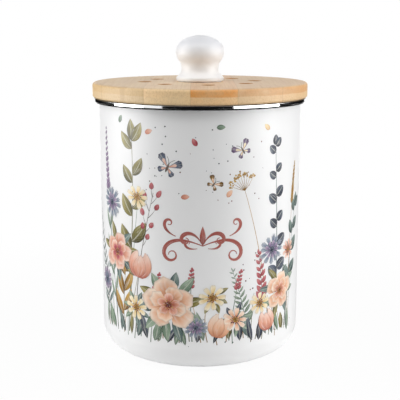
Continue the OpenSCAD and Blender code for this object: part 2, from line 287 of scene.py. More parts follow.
STAVE_W = 33.7              # width of a bamboo stave
STAVE_JOINT = -6.8          # where one joint between two staves lies across the board
GLUE_LINE = (0.05, 0.35)    # glue darkens the wood fully this near a joint, and ends this far off
KNUCKLE = (0.6, 2.4)        # the same for a stave's knuckle, from its middle line
KNUCKLE_SPAN = 150.0        # length of the stretch that the knuckles are strewn over
TONE_JOINT = 0.35            # half the height over which the upper tone of the board's side turns to the lower one
TONE_WANDER = 1.2            # how far their joint strays up and down
PAINTED_SHEEN = (1.2, 0.2)         # the top's paler tone, a painted sheen, comes in between these depths under it
UPPER_TONES = ((0.72, 0.50, 0.25), (0.94, 0.66, 0.36), (0.86, 0.37, 0.09), (0.71, 0.40, 0.18))
LOWER_TONES = ((0.76, 0.56, 0.32), (0.94, 0.68, 0.38), (0.92, 0.60, 0.31), (0.78, 0.53, 0.29))
PAINTED_SHEEN_TONE = (0.67, 0.51, 0.36)

VENT_COUNT = 8
VENT_FIRST = 8.0            # degrees from the right to the first vent
VENT_RING_R = 44.05         # radius of the ring that the vents' middles lie on
VENT_R = 5.25
VENT_GRAIN_AND_SHADE = (0.05, 1.0)        # end grain and painted shade darken the wood fully this near a vent, and end this far off


def stave_tone(wood, stave, tones):
    """Each stave's own tone, from the left one to the right one."""
    count = len(tones)
    stops = [(index / count, tone) for index, tone in enumerate(tones)]
    place = (stave + (count / 2 + 0.5)) / count
    return wood.node("ValToRGB", {"stops": stops, "blend": "CONSTANT"}, {0: place})


def vent_grain_and_shade(x, y):
    """1 at the edges of the board's vents and 0 away from them."""
    step = math.tau / VENT_COUNT
    turn = y.math("ARCTAN2", x) - math.radians(VENT_FIRST) + step / 2
    from_vent = turn - (turn / step).floor() * step - step / 2
    out = distance(x, y)
    away = distance(out * from_vent.math("COSINE") - VENT_RING_R, out * from_vent.math("SINE"))
    return away.eased(VENT_R + VENT_GRAIN_AND_SHADE[0], VENT_R + VENT_GRAIN_AND_SHADE[1], 1.0, 0.0)


def bamboo(name, board=False):
    """Pressed bamboo staves that run front to back, with bundles of fibres and a satin varnish.
    The board's side has an upper and a lower tone, its top is paler with painted sheen, and its
    vents are darkened by end grain and painted shade."""
    wood = Finish(name, ior=1.5)
    where = wood.place()
    x, y, z = wood.axes(where)
    stave = ((x - STAVE_JOINT) / STAVE_W).floor()
    across = (x - STAVE_JOINT) / STAVE_W - stave
    colour = stave_tone(wood, stave, LOWER_TONES)
    if board:
        wander = (wood.noise(where, 0.05, 1.0) - 0.5) * TONE_WANDER
        upper = (z - board_middle + wander).eased(-TONE_JOINT, TONE_JOINT)
        # painted sheen: the top face turns toward a paler tone
        painted_sheen = z.eased(board_high.z - PAINTED_SHEEN[0], board_high.z - PAINTED_SHEEN[1], 0.0, 0.75)
        colour = wood.layered(
            colour, (upper, stave_tone(wood, stave, UPPER_TONES)), (painted_sheen, PAINTED_SHEEN_TONE))

    cloud = wood.noise(wood.place((0.08, 0.012, 0.12)), 1.0, 3.0)
    streak = wood.noise(wood.place((1.1, 0.02, 0.9)), 1.0, 4.0, 0.6)
    bundles = wood.node("TexVoronoi", {"feature": "F1"}, {
        "Vector": wood.place((1.25, 0.004, 1.25)), "Scale": 1.0})
    fleck = bundles.eased(0.10, 0.34, 1.0, 0.0)
    chance = wood.node("TexWhiteNoise", {"noise_dimensions": "1D"}, {"W": stave})
    bow = (across - 0.5) * (across - 0.5) * 10.0
    from_knuckle = abs(y - (chance - 0.5) * KNUCKLE_SPAN + bow)
    from_joint = (0.5 - abs(across - 0.5)) * STAVE_W
    seam = from_joint.eased(*GLUE_LINE, 1.0, 0.0)
    colour = wood.layered(
        colour,
        (cloud.eased(0.35, 0.7, 0.0, 0.35), (0.80, 0.62, 0.38)),
        (streak.eased(0.40, 0.75, 0.0, 0.28), (0.46, 0.25, 0.10)),
        (fleck * 0.20, (0.33, 0.16, 0.055)),
        (from_knuckle.eased(*KNUCKLE, 0.20, 0.0), (0.36, 0.19, 0.075)),
        (seam * 0.25, (0.27, 0.13, 0.045)))
    if board:
        # end grain and painted shade: the wood darkens at the vents' edges and on their walls
        colour = wood.mix(vent_grain_and_shade(x, y) * 0.85, colour, (0.46, 0.19, 0.05))

    relief = streak * 0.6 + fleck * 0.4 + seam
    return wood.paint(
        base_color=colour,
        roughness=0.42 + streak * 0.12,
        normal=wood.bump(relief, 0.03, 0.6))


SHADED_CROWN = (14.0, 3.0)         # painted shade: the knob greys from so far over its foot up to so far under its top


def glaze():
    """White porcelain glaze, with painted shade that greys its upper part, so it is whitest at the
    neck and foot.
    """
    china = Finish("glaze", ior=1.5)
    where = china.place()
    _, _, z = china.axes(where)
    pool = china.noise(where, 0.12)
    speck = china.noise(where, 3.0)
    # painted shade over the ball and top, toward a cool grey
    painted_shade_crown = z.eased(knob_low.z + SHADED_CROWN[0], knob_high.z - SHADED_CROWN[1], 0.0, 0.8)
    return china.paint(
        base_color=china.layered(
            (0.91, 0.91, 0.91),
            (pool, (0.96, 0.96, 0.955)),
            (painted_shade_crown, (0.78, 0.79, 0.83))),
        roughness=0.36 + speck * 0.06,
        normal=china.bump(pool, 0.05))


def silicone():
    """Milky silicone with a soft bloom."""
    rubber = Finish("silicone", subsurface_weight=0.15)
    where = rubber.place()
    bloom = rubber.noise(where, 0.4, 3.0)
    dust = rubber.noise(where, 6.0)
    return rubber.paint(
        base_color=rubber.mix(bloom, (0.70, 0.71, 0.71), (0.80, 0.81, 0.80)),
        roughness=0.42 + dust * 0.2,
        normal=rubber.bump(dust, 0.01))


def turned_metal(name, dark, bright, rough, line):
    """Turned or rolled metal with fine lines round its axis, each line so many millimetres."""
    metal = Finish(name, metallic=1.0)
    where = metal.place()
    _, _, z = metal.axes(where)
    lines = metal.noise(metal.joined(0.0, 0.0, z / line), 1.0)
    haze = metal.noise(where, 1.2, 3.0)
    return metal.paint(
        base_color=metal.mix(haze, dark, bright),
        roughness=rough + haze * 0.12,
        normal=metal.bump(lines, 0.01))


def moulded(name, low, high, rough, spark):
    """Injection-moulded plastic with the fine grain of a sparked mould, spark waves to the
    millimetre."""
    plastic = Finish(name, ior=1.46)
    where = plastic.place()
    flow = plastic.noise(where, 0.05)
    grain = plastic.noise(where, spark)
    return plastic.paint(
        base_color=plastic.mix(flow, low, high),
        roughness=rough + grain * 0.12,
        normal=plastic.bump(grain, 0.03, 0.7))


def charcoal_felt():
    """Carbon-loaded felt: matted fibres with a few bright grains."""
    felt = Finish("charcoal_felt", specular_ior_level=0.2)
    where = felt.place()
    matted = felt.noise(where, 1.1, 5.0, 0.65)
    fibre = felt.node("TexVoronoi", {"feature": "DISTANCE_TO_EDGE"}, {
        "Vector": where, "Scale": 1.7, "Randomness": 1.0})
    hair = fibre.eased(0.0, 0.09, 1.0, 0.0)
    return felt.paint(
        base_color=felt.layered(
            (0.018, 0.019, 0.021),
            (matted, (0.06, 0.062, 0.065)),
            (hair * 0.35, (0.13, 0.13, 0.135))),
        roughness=0.85 + matted * 0.15,
        normal=felt.bump(matted + hair * 0.5, 0.35))


def printed_ink():
    """Fired ceramic inks laid on like watercolour: streaks, pools, edges and veins."""
    fired = Finish("print", ior=1.45)
    where = fired.place()
    x, _, z = fired.axes(where)
    colour = fired.node("Attribute", {"attribute_name": "Ink"}, output="Color")
    veined = colour.beside("Alpha")
    across, along, _ = fired.axes(fired.node("UVMap", {"uv_map": "Run"}))
    side = abs(across * 2.0 - 1.0)

    def deeper(share, shade):
        dark = fired.node("VectorMath", {"operation": "MULTIPLY"}, {0: colour, 1: shade})
        return fired.mix(share, colour, dark)

    streak = fired.noise(fired.joined(across * 9.0, along * 1.6, (x + z) * 0.11), 1.0, 3.0)
    colour = fired.mix(streak.eased(0.48, 0.80, 0.0, 0.40), colour, (0.93, 0.91, 0.88))
    colour = deeper(streak.eased(0.20, 0.48, 0.45, 0.0), (0.66, 0.58, 0.56))
    pool = fired.noise(where, 0.11)
    colour = deeper(pool.eased(0.50, 0.72, 0.0, 0.4), (0.70, 0.66, 0.66))
    edge = along.eased(0.90, 1.0).most(side.eased(0.86, 1.0))
    colour = deeper(edge * 0.55, (0.66, 0.58, 0.56))
    rib = side.eased(0.02, 0.16, 1.0, 0.0) * veined
    twigs = along * 7.0 - side * 2.4
    twigs = abs(twigs - twigs.floor() - 0.5).eased(0.0, 0.13, 1.0, 0.0) * veined
    colour = fired.mix(rib * 0.45 + twigs * 0.16, colour, (0.80, 0.80, 0.68))
    return fired.paint(base_color=colour, roughness=0.28 + pool * 0.08)


milky_silicone = silicone()
zinc_steel = turned_metal("zinc_steel", (0.55, 0.56, 0.58), (0.74, 0.75, 0.77), 0.24, 0.35)
white_plastic = moulded("white_plastic", (0.80, 0.80, 0.79), (0.86, 0.86, 0.85), 0.34, 4.0)
FINISHES = {
    "canister_shell": enamel(),
    "rim_trim": polished_steel(),
    "lid_board": bamboo("bamboo", board=True),
    "lid_plug_ring": bamboo("bamboo_ring"),
    "seal_ring": milky_silicone,
    "knob_gasket": milky_silicone,
    "knob": glaze(),
    "knob_insert": turned_metal("brass", (0.62, 0.42, 0.16), (0.80, 0.60, 0.28), 0.22, 0.5),
    "knob_screw": zinc_steel,
    "knob_washer": zinc_steel,
    "housing_screws": zinc_steel,
    "filter_housing": white_plastic,
    "filter_cover": white_plastic,
    "charcoal_filter": charcoal_felt(),
    "liner_bucket": moulded("liner_plastic", (0.56, 0.57, 0.58), (0.62, 0.63, 0.64), 0.30, 2.5),
}
PRINT = printed_ink()

for name, material in FINISHES.items():
    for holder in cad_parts[name].material_slots:
        holder.material = material


# --- The rim's rolled strip -------------------------------------------------------------------

RIM_T = 0.6                 # thickness of the strip
RIM_TOP_R = 0.65            # outer radius of its upper bend
RIM_EDGE_R = 1.5            # outer radius of its lower bend
RIM_SEAT = 0.05             # gap between the strip and the wall
BEND_END = 0.05             # a narrow face past each bend, which keeps the flat face's shading flat
TURN_STEPS = 320            # faces round a turned piece
SHARP_EDGE = 40             # degrees between two faces from which their edge stays sharp


def mesh_from(name, shape):
    mesh = bpy.data.meshes.new(name)
    shape.to_mesh(mesh)
    shape.free()
    return mesh


def bend(x, z, radius, start, end, steps=10):
    """Points of an arc round x and z, from one angle in degrees to another."""
    angles = [math.radians(start + (end - start) * step / steps) for step in range(steps + 1)]
    return [(x + radius * math.cos(angle), z + radius * math.sin(angle)) for angle in angles]


def turned(name, section):
    """A closed section, in millimetres from the axis and up from the table, turned all round."""
    shape = bmesh.new()
    corners = [shape.verts.new((x * MM, 0, z * MM)) for x, z in section]
    edges = [shape.edges.new(pair) for pair in zip(corners, corners[1:] + corners[:1])]
    bmesh.ops.spin(shape, geom=corners + edges, axis=(0, 0, 1), cent=(0, 0, 0), angle=math.tau,
                   steps=TURN_STEPS, use_merge=True)
    bmesh.ops.recalc_face_normals(shape, faces=shape.faces)
    for face in shape.faces:
        face.smooth = True
    for edge in shape.edges:
        edge.smooth = edge.calc_face_angle(0.0) < math.radians(SHARP_EDGE)
    return new_object(name, mesh_from(name, shape))


def rim_strip():
    """The polished strip, bent over the canister's flange at the top and back in to the wall."""
    low, high = rim_low.z, rim_high.z
    face_r = rim_high.x
    seat_r = WALL_R + RIM_SEAT
    low_middle = (face_r - RIM_EDGE_R, low + RIM_EDGE_R)
    high_middle = (face_r - RIM_TOP_R, high - RIM_TOP_R)
    strip = turned("rim_strip", [
        (seat_r, low),
        *bend(*low_middle, RIM_EDGE_R, -90, 0),
        (face_r, low + RIM_EDGE_R + BEND_END),
        (face_r, high - RIM_TOP_R - BEND_END),
        *bend(*high_middle, RIM_TOP_R, 0, 90),
        (seat_r, high),
        (seat_r, high - RIM_T),
        *bend(*high_middle, RIM_TOP_R - RIM_T, 90, 0, 4),
        *bend(*low_middle, RIM_EDGE_R - RIM_T, 0, -90, 6),
        (seat_r, low + RIM_T)])
    strip.data.materials.append(FINISHES["rim_trim"])
    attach(strip, "canister")
    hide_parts("rim_trim")


rim_strip()


# --- The meadow printed on the wall -----------------------------------------------------------
# The print is drawn flat, in millimetres to the right of the wall's middle and up from the
# floor: sheets of ink patches on thin layers. Each sheet is then laid round the wall.

FIRST_COAT = 0.012          # the lowest ink stands this far off the wall
COAT = 0.014                # from one layer of ink to the next
INK_DEPTH = 0.008           # thickness of a patch
WELD = 0.002                # corners of a patch closer than this become one
STEM_TAPER = 0.64           # share of its width that a stem loses by its tip
LEAF_BELLY = 0.85           # below 1, a leaf is widest on its root's side of the middle
SHORT_LEAF = 6              # a leaf shorter than this gets fewer faces
NOTCH_W = 0.25              # half the notch in a petal's tip, as a share of the petal's opening
ROW_END = 0.97              # how far along its stem a row of leaves or berries ends
GOLDEN_TURN = 137.5         # degrees from one stamen to the next
UMBEL_SPREAD = 124          # degrees from an umbel's first ray to its last
WINGS = (                   # degrees off the heading, share of the full length, opening, layer
    (128, 0.68, 30, 1),
    (52, 1.0, 27, 2))

dice = random.Random(11)


def tint(red, green, blue):
    """A colour given as on a screen, from 0 to 255, in the light that a shader works in."""
    return Vector([((level / 255 + 0.055) / 1.055) ** 2.4 for level in (red, green, blue)])


def hues(*colours):
    """A deep, a middle and a pale tone of one ink."""
    return [tint(*colour) for colour in colours]


OLIVE = hues((58, 52, 18), (122, 114, 50), (184, 172, 106))
SAGE = hues((70, 94, 76), (120, 144, 122), (174, 192, 168))
TEAL = hues((42, 60, 60), (84, 108, 106), (142, 162, 154))
NAVY = hues((28, 34, 50), (52, 62, 82), (100, 112, 130))
MAUVE = hues((88, 66, 104), (146, 124, 156), (206, 194, 212))
SLATE = hues((66, 76, 100), (120, 132, 150), (182, 190, 200))
BLUSH = hues((176, 84, 66), (230, 166, 140), (250, 226, 212))
PEACH = hues((190, 108, 72), (240, 188, 152), (252, 234, 216))
CREAM = hues((196, 142, 66), (242, 214, 154), (252, 243, 218))
ROSE = hues((128, 40, 50), (186, 84, 92), (226, 156, 154))
GOLD = hues((98, 64, 20), (176, 132, 48), (222, 188, 108))
PLUM = hues((66, 18, 22), (126, 48, 50), (190, 100, 98))
BARK = hues((58, 48, 42), (100, 88, 80), (150, 138, 128))
PEN_ROSE = hues((150, 66, 58), (176, 92, 82), (200, 122, 110))


def toward(heading):
    """The direction of a heading, in degrees to the right of straight up."""
    turn = math.radians(heading)
    return Vector((math.sin(turn), math.cos(turn)))


class Line:
    """A drawn line. It leaves start at a heading and turns as it goes: turn degrees evenly,
    and curl more degrees that come mostly near its end."""

    STEPS = 40              # straight stretches that the line is made of

    def __init__(self, start, heading, length, turn=0.0, curl=0.0):
        self.heading = heading
        self.turn = turn
        self.curl = curl
        self.points = [Vector(start)]
        for step in range(self.STEPS):
            way = self.way((step + 0.5) / self.STEPS)
            self.points.append(self.points[-1] + way * (length / self.STEPS))

    def heading_at(self, along):
        return self.heading + self.turn * along + self.curl * along ** 3

    def way(self, along):
        return toward(self.heading_at(along))

    def at(self, along):
        place = min(max(along, 0.0), 1.0) * self.STEPS
        step = min(int(place), self.STEPS - 1)
        return self.points[step].lerp(self.points[step + 1], place - step)


def ribbon(line, half_width):
    """Places a patch along a line, half_width(along) to each side of it."""
    def place(along, across):
        way = line.way(along)
        return line.at(along) + Vector((way.y, -way.x)) * (half_width(along) * across)
    return place


def fan(root, heading, length, opening, fullness=0.35, notch=0.0, ruffle=0.0, waves=3):
    """Places a petal that opens from its root. Its outline is fuller as fullness nears 0."""
    phase = dice.uniform(0, math.tau)

    def place(along, across):
        reach = max(math.cos(across * math.pi / 2), 0.0) ** fullness
        reach *= 1 - notch * math.exp(-(across / NOTCH_W) ** 2)
        reach *= 1 + ruffle * math.sin(waves * math.pi * across + phase)
        return Vector(root) + toward(heading + opening * across) * (length * along * reach)
    return place


def leaned(point, centre, facing):
    """Where a blossom's point comes to lie when the blossom faces away: facing is a heading, and
    the share of its size that is left along it."""
    heading, share = facing
    way = toward(heading)
    out = point - Vector(centre)
    return Vector(centre) + out - way * (out.dot(way) * (1 - share))


def tilted(place, centre, facing):
    """The same patch on a blossom that faces away."""
    return lambda along, across: leaned(place(along, across), centre, facing)


def wash(tones, root, tip, side=0.0, rim=0.0, vein=0.0, late=1.0):
    """Ink that runs from one tone at a patch's root to another at its tip, where 0 is deep and
    1 is pale. One side may be paler than the other, and the rim deeper. The tip's tone comes
    later as late grows."""
    deep, middle, pale = tones
    fresh = dice.uniform(0.94, 1.04)
    drift = dice.uniform(-0.08, 0.08)

    def ink(along, across):
        tone = root + (tip - root) * along ** late + side * across + drift
        tone -= rim * max(along ** 12, abs(across) ** 8)
        tone = min(max(tone, 0.0), 1.0) * 2
        colour = deep.lerp(middle, tone) if tone < 1 else middle.lerp(pale, tone - 1)
        return (*(colour * fresh), vein)
    return ink


class Sheet:
    """One piece of the print, made of many patches."""

    def __init__(self, name):
        self.name = name
        self.shape = bmesh.new()
        self.ink = self.shape.verts.layers.float_color.new("Ink")
        self.run = self.shape.loops.layers.uv.new("Run")

    def patch(self, place, ink, layer, rows=8, columns=6):
        """Adds a patch: place and ink say where a point is and its colour."""
        corners = bmesh.ops.create_grid(
            self.shape, x_segments=columns, y_segments=rows, size=1.0)["verts"]
        for corner in corners:
            across, along = corner.co.x, (corner.co.y + 1) / 2
            right, up = place(along, across)
            corner.co = (right, up, layer * COAT)
            corner[self.ink] = ink(along, across)
            for loop in corner.link_loops:
                loop[self.run].uv = ((across + 1) / 2, along)
        bmesh.ops.remove_doubles(self.shape, verts=corners, dist=WELD)

    def lay(self, material):
        """Bends the sheet round the wall and gives its patches their thickness."""
        for corner in self.shape.verts:
            right, up, height = corner.co
            turn = right / WALL_R
            reach = WALL_R + FIRST_COAT + height
            corner.co = Vector((reach * math.sin(turn), -reach * math.cos(turn), up)) * MM
        piece = new_object(self.name, mesh_from(self.name, self.shape))
        piece.data.materials.append(material)
        depth = piece.modifiers.new("depth", "SOLIDIFY")
        depth.thickness = INK_DEPTH * MM
        depth.offset = -1.0
        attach(piece, "canister")

    # Single strokes and blots

    def stem(self, start, heading, length, turn=0.0, curl=0.0, width=0.8, tones=BARK, layer=0):
        """A stalk that thins toward its tip."""
        line = Line(start, heading, length, turn, curl)

        def half_width(along):
            return width / 2 * (1 - STEM_TAPER * along)
        self.patch(ribbon(line, half_width), wash(tones, 0.2, 0.6), layer,
                   max(4, int(length / 3)), 1)
        return line

    def leaf(self, root, heading, length, width, tones, layer, turn=0.0, point=1.0, vein=1.0,
             reach=(0.2, 0.8)):
        """A leaf or a slim petal, rounder at its ends as point gets smaller."""
        line = Line(root, heading, length, turn)

        def half_width(along):
            return width / 2 * max(math.sin(math.pi * along ** LEAF_BELLY), 0.0) ** point
        rows, columns = (5, 4) if length < SHORT_LEAF else (9, 6)
        side = dice.choice((-0.25, 0.25)) * vein
        self.patch(ribbon(line, half_width), wash(tones, *reach, side, 0.15, vein),
                   layer, rows, columns)

    def dot(self, centre, radius, tones, layer, depth=0.5):
        """A round blot."""
        self.patch(fan(centre, 0, radius, 180, 0), wash(tones, depth, depth - 0.15), layer, 1, 8)

    # Whole motifs

    def pairs(self, line, tones, start, count, size, spread, layer, last=1.0, turn=0.0,
              point=1.0, vein=1.0, end=ROW_END, tip=True):
        """Leaves in pairs along a line: size is a leaf's length and width, and last says how
        large the last ones are beside the first."""
        for number in range(count):
            share = number / max(count - 1, 1)
            scale = (1 + (last - 1) * share) * dice.uniform(0.9, 1.08)
            for side in (-1, 1):
                along = start + (end - start) * (share + side * 0.15 / count)
                heading = line.heading_at(along) + side * (spread + dice.uniform(-5, 5))
                self.leaf(line.at(along), heading, size[0] * scale, size[1] * scale, tones,
                          layer + number % 2, -side * turn, point, vein)
        if tip:
            self.leaf(line.at(0.99), line.heading_at(1.0), size[0] * last, size[1] * last,
                      tones, layer, 0.0, point, vein)

    def petals(self, centre, radius, count, opening, tones, layer, turn=0.0, facing=(0, 1.0),
               reach=(0.1, 0.95), late=1.5, **form):
        """A ring of petals that overlap."""
        for number in range(count):
            heading = turn + 360 / count * number + dice.uniform(-4, 4)
            length = radius * dice.uniform(0.92, 1.06)
            place = tilted(fan(centre, heading, length, opening, **form), centre, facing)
            raised = 2 if count % 2 and number == count - 1 else number % 2
            ink = wash(tones, *reach, dice.choice((-0.12, 0.12)), -0.1, 0.0, late)
            self.patch(place, ink, layer + raised, 9, 8)

    def heart(self, centre, radius, tones, specks, speck_tones, layer, facing=(0, 1.0)):
        """The middle of a blossom: a disc, with stamens strewn over and round it."""
        self.patch(tilted(fan(centre, 0, radius, 180, 0, 0.0, 0.06, 7), centre, facing),
                   wash(tones, 0.1, 0.7), layer, 2, 14)
        for number in range(specks):
            out = radius * (0.25 + 1.2 * math.sqrt((number + 0.5) / specks))
            stamen = leaned(Vector(centre) + toward(number * GOLDEN_TURN) * out, centre, facing)
            self.dot(stamen, dice.uniform(0.3, 0.6), speck_tones, layer + 1,
                     dice.uniform(0.15, 0.9))

    def collar(self, centre, radius, count, tones, layer, first=0.0, sweep=360.0):
        """Leaves that show from behind a blossom."""
        for number in range(count):
            heading = first + sweep * (number + dice.uniform(-0.2, 0.2)) / count
            root = Vector(centre) + toward(heading) * radius * 0.5
            self.leaf(root, heading, radius * dice.uniform(0.75, 1.0), radius * 0.36,
                      dice.choice(tones), layer + number % 2, dice.uniform(-25, 25), 0.9)

    def daisy(self, centre, radius, turn=0.0, facing=(0, 1.0), layer=8, tones=CREAM):
        """One ring of notched petals round a gold heart."""
        self.petals(centre, radius, 9, 19, tones, layer, turn, facing, (0.15, 1.0), 1.2,
                    fullness=0.3, notch=0.08)
        self.heart(centre, radius * 0.24, GOLD, 22, PLUM, layer + 3, facing)

    def poppy(self, centre, radius, turn=0.0, facing=(0, 1.0), layer=8, tones=PEACH,
              inner=BLUSH):
        """Two rings of broad ruffled petals, and a third of another ink."""
        self.petals(centre, radius, 5, 46, tones, layer, turn, facing, (0.0, 1.0), 1.9,
                    fullness=0.3, ruffle=0.04, waves=5)
        self.petals(centre, radius * 0.70, 4, 50, tones, layer + 3, turn + 30, facing,
                    (0.05, 1.0), 1.8, fullness=0.32, ruffle=0.05, waves=4)
        self.petals(centre, radius * 0.45, 5, 42, inner, layer + 5, turn + 8, facing,
                    (0.0, 0.85), 2.0, fullness=0.4, ruffle=0.05, waves=4)
        self.heart(centre, radius * 0.13, PLUM, 18, GOLD, layer + 8, facing)

    def cornflower(self, centre, radius, turn=0.0, facing=(0, 1.0), layer=8, tones=SLATE,
                   inner=MAUVE):
        """Two rings of narrow toothed petals, the inner one of another ink."""
        self.petals(centre, radius, 12, 15, tones, layer, turn, facing, (0.0, 0.85), 1.2,
                    fullness=0.16, ruffle=0.13, waves=4)
        self.petals(centre, radius * 0.62, 9, 19, inner, layer + 3, turn + 11, facing,
                    (0.0, 0.75), 1.3, fullness=0.2, ruffle=0.12, waves=4)
        self.heart(centre, radius * 0.2, NAVY, 14, SLATE, layer + 6, facing)

    def tulip(self, root, heading, length, width, layer=8, tones=MAUVE, inner=BLUSH):
        """A cup of petals seen from the side."""
        for side in (-1, 1):
            self.leaf(root, heading + side * 13, length, width * 0.42, tones, layer,
                      side * 6, 0.9, 0.2, (0.0, 0.5))
            self.leaf(root, heading + side * 46, length * 1.08, width * 0.48, inner, layer + 1,
                      -side * 74, 0.85, 0.2, (0.0, 1.1))
        self.leaf(root, heading, length * 0.86, width * 0.52, inner, layer + 2, 0.0, 0.85, 0.2,
                  (0.15, 0.95))

    def umbel(self, line, rays, length, tones, layer):
        """A head of rays with a cluster of dots at the end of each."""
        for number in range(rays):
            lean = (number / (rays - 1) - 0.5) * UMBEL_SPREAD
            ray = self.stem(line.at(1.0), line.heading_at(1.0) + lean,
                            length * (1 - abs(lean) / 400) * dice.uniform(0.9, 1.05),
                            -lean * 0.3, width=0.4, tones=tones, layer=layer)
            for _ in range(6):
                out = toward(dice.uniform(0, 360)) * dice.uniform(0.3, 2.0)
                self.dot(ray.at(1.0) + out, dice.uniform(0.45, 0.85), tones, layer + 1,
                         dice.uniform(0.4, 1.0))

    def berries(self, line, start, count, size, tones, layer):
        """Twigs on both sides of a line, each with one berry or bud."""
        for number in range(count):
            along = start + (ROW_END - start) * number / max(count - 1, 1)
            side = -1 if number % 2 else 1
            twig = self.stem(line.at(along),
                             line.heading_at(along) + side * dice.uniform(28, 46),
                             size * dice.uniform(1.0, 1.9), side * -18, width=0.45, layer=layer)
            self.leaf(twig.at(0.95), twig.heading_at(1.0), size * dice.uniform(0.9, 1.2),
                      size * 0.72, tones, layer + 1, 0.0, 0.6, 0.1)

    def butterfly(self, centre, size, heading, tones, inner):
        """Wings with a paler field in each, feelers and a body, flying along a heading."""
        for side in (-1, 1):
            for lean, length, opening, layer in WINGS:
                self.patch(fan(centre, heading + side * lean, size * length, opening, 0.28, 0.05),
                           wash(tones, 0.9, 0.0, 0.0, 0.3, 0.4), layer, 8, 6)
                self.patch(fan(centre, heading + side * lean, size * length * 0.62,
                               opening * 0.7, 0.3), wash(inner, 0.4, 0.9), layer + 2, 5, 5)
            feeler = Line(Vector(centre) + toward(heading) * size * 0.2, heading + side * 14,
                          size * 0.5, side * 40)
            self.patch(ribbon(feeler, lambda along: 0.14), wash(BARK, 0.1, 0.3), 5, 6, 1)
        self.leaf(Vector(centre) - toward(heading) * size * 0.34, heading, size * 0.66,
                  size * 0.15, BARK, 6, 0.0, 0.6, 0.0)

    def strew(self, count, low, high, tones, size=(0.3, 0.7)):
        """Specks of ink thrown over a part of the wall."""
        for _ in range(count):
            place = (dice.uniform(low[0], high[0]), dice.uniform(low[1], high[1]))
            self.dot(place, dice.uniform(*size), tones, 0, dice.uniform(0.1, 0.6))


def left_bank(sheet):
    """Lavender, long leaves, a fern and hips, with blossoms in front."""
    lavender = sheet.stem((-74, 27), -6, 156, -4, 10, tones=TEAL)
    sheet.pairs(lavender, MAUVE, 0.70, 11, (5.6, 3.8), 38, 3, 0.5, point=0.6, vein=0.1)
    sheet.pairs(lavender, SAGE, 0.16, 4, (18, 3.0), 24, 1, turn=10, tip=False, end=0.5)

    tall_leaf = sheet.stem((-60, 27), 3, 150, 2, -8, 1.0, OLIVE)
    sheet.pairs(tall_leaf, OLIVE, 0.46, 4, (22, 11), 48, 2, 0.75, 24, 0.9)
    fern = sheet.stem((-84, 27), -13, 92, -6, tones=TEAL)
    sheet.pairs(fern, TEAL, 0.18, 13, (13, 3.2), 52, 1, 0.24, 14)
    hips = sheet.stem((-52, 28), -2, 112, 26, -10)
    sheet.berries(hips, 0.62, 8, 5.4, ROSE, 3)
    gold_leaf = sheet.stem((-66, 26), -2, 48, 10, tones=OLIVE)
    sheet.pairs(gold_leaf, GOLD, 0.3, 3, (21, 7), 34, 3, turn=20)

    sheet.stem((-80, 27), -3, 96, 4, tones=SAGE)
    sheet.cornflower((-80, 126), 12.5, 8, (30, 0.9))
    sheet.stem((-60, 28), 4, 104, 4, tones=SAGE)
    sheet.daisy((-50, 134), 11, 12, (15, 0.86), 7)
    sheet.collar((-73, 88), 17, 7, (OLIVE, TEAL), 6, 30)
    sheet.poppy((-73, 88), 17, 20, (-20, 0.9), 9, BLUSH, ROSE)
    sheet.stem((-60, 27), 10, 46, 4, tones=OLIVE)
    sheet.tulip((-50, 72), 10, 21, 24, 12)
    sheet.collar((-50, 72), 9, 3, (OLIVE,), 6, -70, 140)
    sheet.cornflower((-93, 62), 9.5, 0, (0, 0.95), 8, MAUVE, SLATE)
    sheet.collar((-52, 48), 11, 7, (SAGE, TEAL), 5, 20)
    sheet.daisy((-52, 48), 11, 0, (0, 0.95), 11)


def low_blossoms(sheet):
    """Low blossoms between the banks, and three stems of buds."""
    sheet.collar((-24, 54), 21, 10, (SAGE, TEAL, OLIVE), 7, 10)
    sheet.poppy((-24, 54), 22, -6, (10, 0.92), 14)
    sheet.collar((9, 60), 10, 5, (OLIVE,), 6, 60, 240)
    sheet.daisy((9, 60), 11.5, 6, (-15, 0.9), 12)
    sheet.cornflower((-3, 37), 9, 0, (0, 0.9), 10)
    sheet.collar((27, 42), 10, 7, (NAVY, SAGE), 6, 20)
    sheet.daisy((27, 42), 10.5, 14, (20, 0.92), 11, PEACH)
    sheet.tulip((12, 29), 16, 19, 18, 9, BLUSH, PEACH)
    for right, heading, reach in ((-6, -4, 56), (22, 6, 54), (-42, 8, 52)):
        bud = sheet.stem((right, 26), heading, reach, 8, tones=SAGE)
        sheet.pairs(bud, ROSE, 0.74, 5, (4.2, 2.8), 40, 4, 0.6, point=0.6, vein=0.1)


